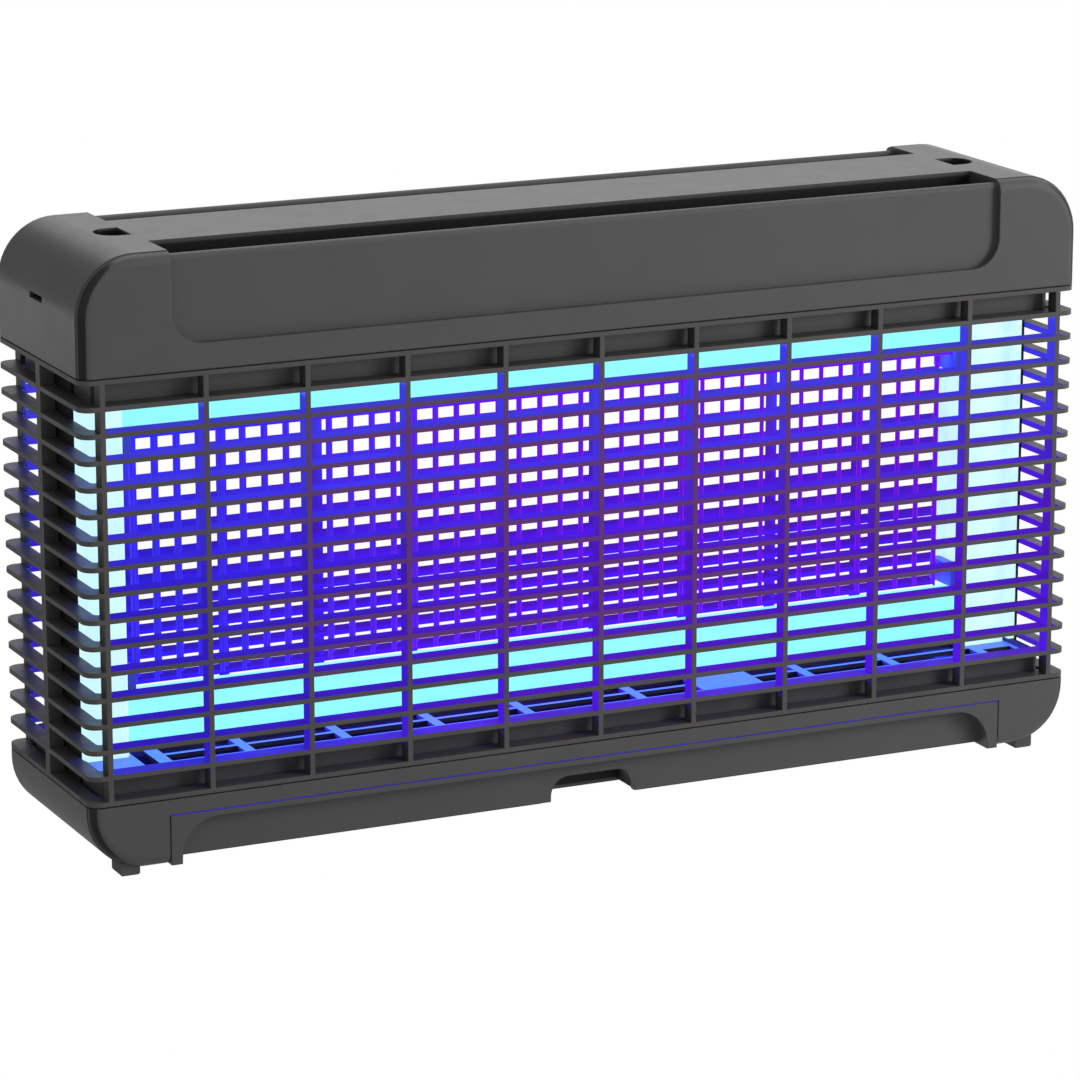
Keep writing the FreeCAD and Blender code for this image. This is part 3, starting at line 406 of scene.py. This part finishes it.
# Painted shade: the tray pan is made near black so that the slots of the floor grate read dark.
dress(moulded("tray_inside", DEEP_BLACK, roughness=0.5, specular=0.2), "tray_pan")
for name, outward in (("front_grille", -1), ("rear_grille", 1)):
    dress(lit_cage(moulded(f"{name}_satin", **GRILLE), outward), name)
dress(moulded("end_plate_black", DEEP_BLACK, roughness=0.5, specular=0.25),
      "left_end_plate", "right_end_plate")
dress(lit_floor(moulded("floor_grey", (0.030, 0.030, 0.032), roughness=0.5, edge_wear_and_shade=1.0, specular=0.3)),
      "floor_grate")
dress(moulded("foot_rubber", (0.03, 0.03, 0.032), roughness=0.75, grain=0.3, edge=0.001),
      *four_of("foot", ("front", "rear")))
dress(moulded("holder_white", (0.75, 0.75, 0.73), roughness=0.35, edge_wear_and_shade=1.1),
      *four_of("lampholder", ("upper", "lower")))
# The insulators' blue tone is painted light from the tubes.
dress(moulded("insulator_lit", (0.05, 0.07, 0.5), roughness=0.3, edge_wear_and_shade=1.1),
      *four_of("insulator", ("upper", "lower")))
# The wires' blue-violet base tone is painted light from the tubes, not the colour of the metal.
dress(lit_rods(metal("grid_wire", (0.08, 0.02, 0.40), 0.42, ALONG_Z)),
      "front_rod_grid", "rear_rod_grid")
dress(metal("zinc_screw", (0.5, 0.5, 0.52), 0.35, NO_STREAKS),
      "cover_screws", "base_screws", "left_hanger_pin", "right_hanger_pin")
dress(metal("blackened_screw", (0.12, 0.12, 0.13), 0.4, NO_STREAKS), "end_plate_screws")
dress(metal("cap_aluminium", (0.78, 0.79, 0.8), 0.3, ALONG_X), "upper_tube_caps", "lower_tube_caps")
dress(metal("pin_brass", (0.75, 0.58, 0.28), 0.3, ALONG_X), "upper_tube_pins", "lower_tube_pins")
dress(moulded("ballast_enamel", (0.7, 0.7, 0.68), roughness=0.35, edge_wear_and_shade=1.1), "tube_ballast")
dress(metal("core_laminations", (0.3, 0.3, 0.31), 0.45, LAMINATED), "hv_transformer")
dress(moulded("board_green", (0.03, 0.16, 0.06), roughness=0.35, vary=0.4), "hv_board")
dress(moulded("capacitor_blue", (0.03, 0.07, 0.28), roughness=0.3), "hv_capacitors")
dress(moulded("terminal_white", (0.65, 0.65, 0.6), roughness=0.45, edge_wear_and_shade=1.1), "terminal_block")
dress(moulded("switch_black", (0.012, 0.012, 0.013), roughness=0.3), "switch_bezel", "cord_inlet")
dress(moulded("rocker_black", (0.02, 0.02, 0.022), roughness=0.22), "switch_rocker")
dress(glowing("tube_glow", (0.04, 0.10, 0.12), (0.29, 0.96, 0.95), 1.0, vary=0.04),
      "upper_tube_glass", "lower_tube_glass")
# The lamp columns are no lamps: their cyan glow is painted light from the tubes.
dress(glowing("column_glow", (0.15, 0.2, 0.22), (0.60, 0.95, 0.94), 0.95, vary=0.10, roughness=0.35),
      "left_lamp_column", "right_lamp_column")


# ---------------------------------------------------------------- lights inside the cage

LAMPS_PER_TUBE = 9
LAMP_POWER = 0.8
LAMP_RADIUS = 0.011
# The colours of a tube's lamps at its ends and at its middle.
LAMP_COLOURS = {"upper": ((0.02, 0.06, 1.0), (0.06, 0.01, 1.0)),
                "lower": ((0.02, 0.05, 1.0), (0.09, 0.0, 1.0))}

lit = bpy.data.collections.new("lit_by_tubes")
for node in nodes.values():
    lit.objects.link(node)


def lamp(name, place, colour):
    """A small unseen light that shines on the object only."""
    light = bpy.data.lights.new(name, "POINT")
    light.color = colour
    light.energy = LAMP_POWER
    light.shadow_soft_size = LAMP_RADIUS
    item = add(name, light)
    item.location = place
    item.visible_camera = False
    item.light_linking.receiver_collection = lit


for end in ("left", "right"):
    nodes[f"{end}_lamp_column"].visible_diffuse = False
for level, (end_colour, middle_colour) in LAMP_COLOURS.items():
    tube = nodes[f"{level}_tube_glass"]
    tube.visible_shadow = False
    tube.visible_diffuse = False
    low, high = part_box(f"{level}_tube_glass")
    axis = (low + high) / 2
    for i in range(LAMPS_PER_TUBE):
        along = (i + 0.5) / LAMPS_PER_TUBE
        middle = 1 - abs(2 * along - 1)
        colour = [a + (b - a) * middle for a, b in zip(end_colour, middle_colour)]
        lamp(f"{level}_glow_{i}", (low.x + (high.x - low.x) * along, axis.y, axis.z), colour)


# ---------------------------------------------------------------- painted glow in the slit above the tray

# How far the glow lies behind the tray's face, and how far above its top edge.
SEAM_FRONT, SEAM_BACK = 0.0006, 0.006
SEAM_BOTTOM, SEAM_TOP = 0.00006, 0.00036
SEAM_ROUNDING = 0.0001


def seam_glow():
    """A glowing strip that paints the stray light leaking out of the slit between the tray and the base."""
    low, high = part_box("tray_front")
    a = Vector((low.x, low.y + SEAM_FRONT, high.z + SEAM_BOTTOM))
    b = Vector((high.x, low.y + SEAM_BACK, high.z + SEAM_TOP))
    builder = bmesh.new()
    bmesh.ops.create_cube(builder, size=1.0)
    for vertex in builder.verts:
        vertex.co = Vector((a[i] + (b[i] - a[i]) * (vertex.co[i] + 0.5) for i in range(3)))
    bmesh.ops.bevel(builder, geom=builder.edges[:], offset=SEAM_ROUNDING, segments=2, affect="EDGES")
    data = bpy.data.meshes.new("tray_seam_glow")
    builder.to_mesh(data)
    builder.free()
    data.materials.append(
        glowing("seam_glow", (0.02, 0.02, 0.1), (0.01, 0.01, 0.55), 1.6, vary=0.4, scale=25))
    piece = add("tray_seam_glow", data)
    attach(piece, "housing")


seam_glow()


# ---------------------------------------------------------------- studio

WHITE = (1, 1, 1, 1)
FLOOR_HALF = 15
# The middle of the object, where the lights point.
CENTRE = (0, 0, 0.14)


def studio_floor():
    """A plain white floor that gives off its own light, so no shadow shows on it."""
    builder = bmesh.new()
    bmesh.ops.create_grid(builder, x_segments=8, y_segments=8, size=FLOOR_HALF)
    data = bpy.data.meshes.new("studio_floor")
    builder.to_mesh(data)
    builder.free()
    floor = add("studio_floor", data)
    paint, _, body = light_only("studio_white")
    body.inputs["Emission Color"].default_value = WHITE
    data.materials.append(paint)


def soft_box(name, place, size, power):
    """A rectangular light that points at the object."""
    light = bpy.data.lights.new(name, "AREA")
    light.shape = "RECTANGLE"
    light.size, light.size_y = size
    light.energy = power
    item = add(name, light)
    way = Vector(CENTRE) - Vector(place)
    item.matrix_world = Matrix.Translation(place) @ way.to_track_quat("-Z", "Y").to_matrix().to_4x4()
    return item


def reflector(name, corners, start, end, low, high):
    """A sheet that only reflections see; its brightness runs from low to high between two places along X."""
    sheet = add(name, bpy.data.meshes.new(name))
    sheet.data.from_pydata(corners, [], [(0, 1, 2, 3)])
    paint, tree, body = light_only(name)
    spot, _ = place_and_facing(tree)
    along = mapped(tree, spot["X"], start, end)
    tree.links.new(ramp(tree, along, [low] * 3, [high] * 3, 0.0, 1.0), body.inputs["Emission Color"])
    sheet.data.materials.append(paint)
    sheet.visible_camera = False
    sheet.visible_shadow = False
    sheet.visible_diffuse = False
    sheet.visible_transmission = False


studio_floor()

world = bpy.data.worlds.new("studio")
bpy.context.scene.world = world
world.use_nodes = True
background = world.node_tree.nodes["Background"]
background.inputs["Color"].default_value = WHITE
background.inputs["Strength"].default_value = 1.0

soft_box("key", place=(1.7, -1.5, 1.5), size=(1.6, 1.2), power=6)
right_fill = soft_box("right_fill", place=(1.0, -0.95, 0.5), size=(0.5, 0.5), power=24)
right_fill.light_linking.receiver_collection = lit
right_fill.visible_glossy = False
soft_box("top", place=(0, 0.6, 2.6), size=(2.4, 1.6), power=12)

reflector("floor_sheet", [(-2.0, -1.8, 0.0008), (0.9, -1.8, 0.0008), (0.9, 1.0, 0.0008), (-2.0, 1.0, 0.0008)],
          start=-0.25, end=0.85, low=0.35, high=1.0)
reflector("rear_sheet", [(-2.2, 0.5, 0), (0.0, 2.0, 0), (0.0, 2.0, 2.5), (-2.2, 0.5, 2.5)],
          start=-0.3, end=0.0, low=0.25, high=1.0)


# ---------------------------------------------------------------- camera

CAMERA_PLACE = (-0.9274, -1.9470, 0.6680)
CAMERA_FORWARD = (0.4148, 0.8757, -0.2473)

camera_data = bpy.data.cameras.new("camera")
camera_data.sensor_width = 36
camera_data.lens = 158.7
camera = add("camera", camera_data)
forward = Vector(CAMERA_FORWARD).normalized()
right = forward.cross(Vector((0, 0, 1))).normalized()
up = right.cross(forward)
turn = Matrix((right, up, -forward)).transposed()
camera.matrix_world = Matrix.Translation(CAMERA_PLACE) @ turn.to_4x4()
bpy.context.scene.camera = camera
bpy.context.scene.view_settings.view_transform = "Standard"
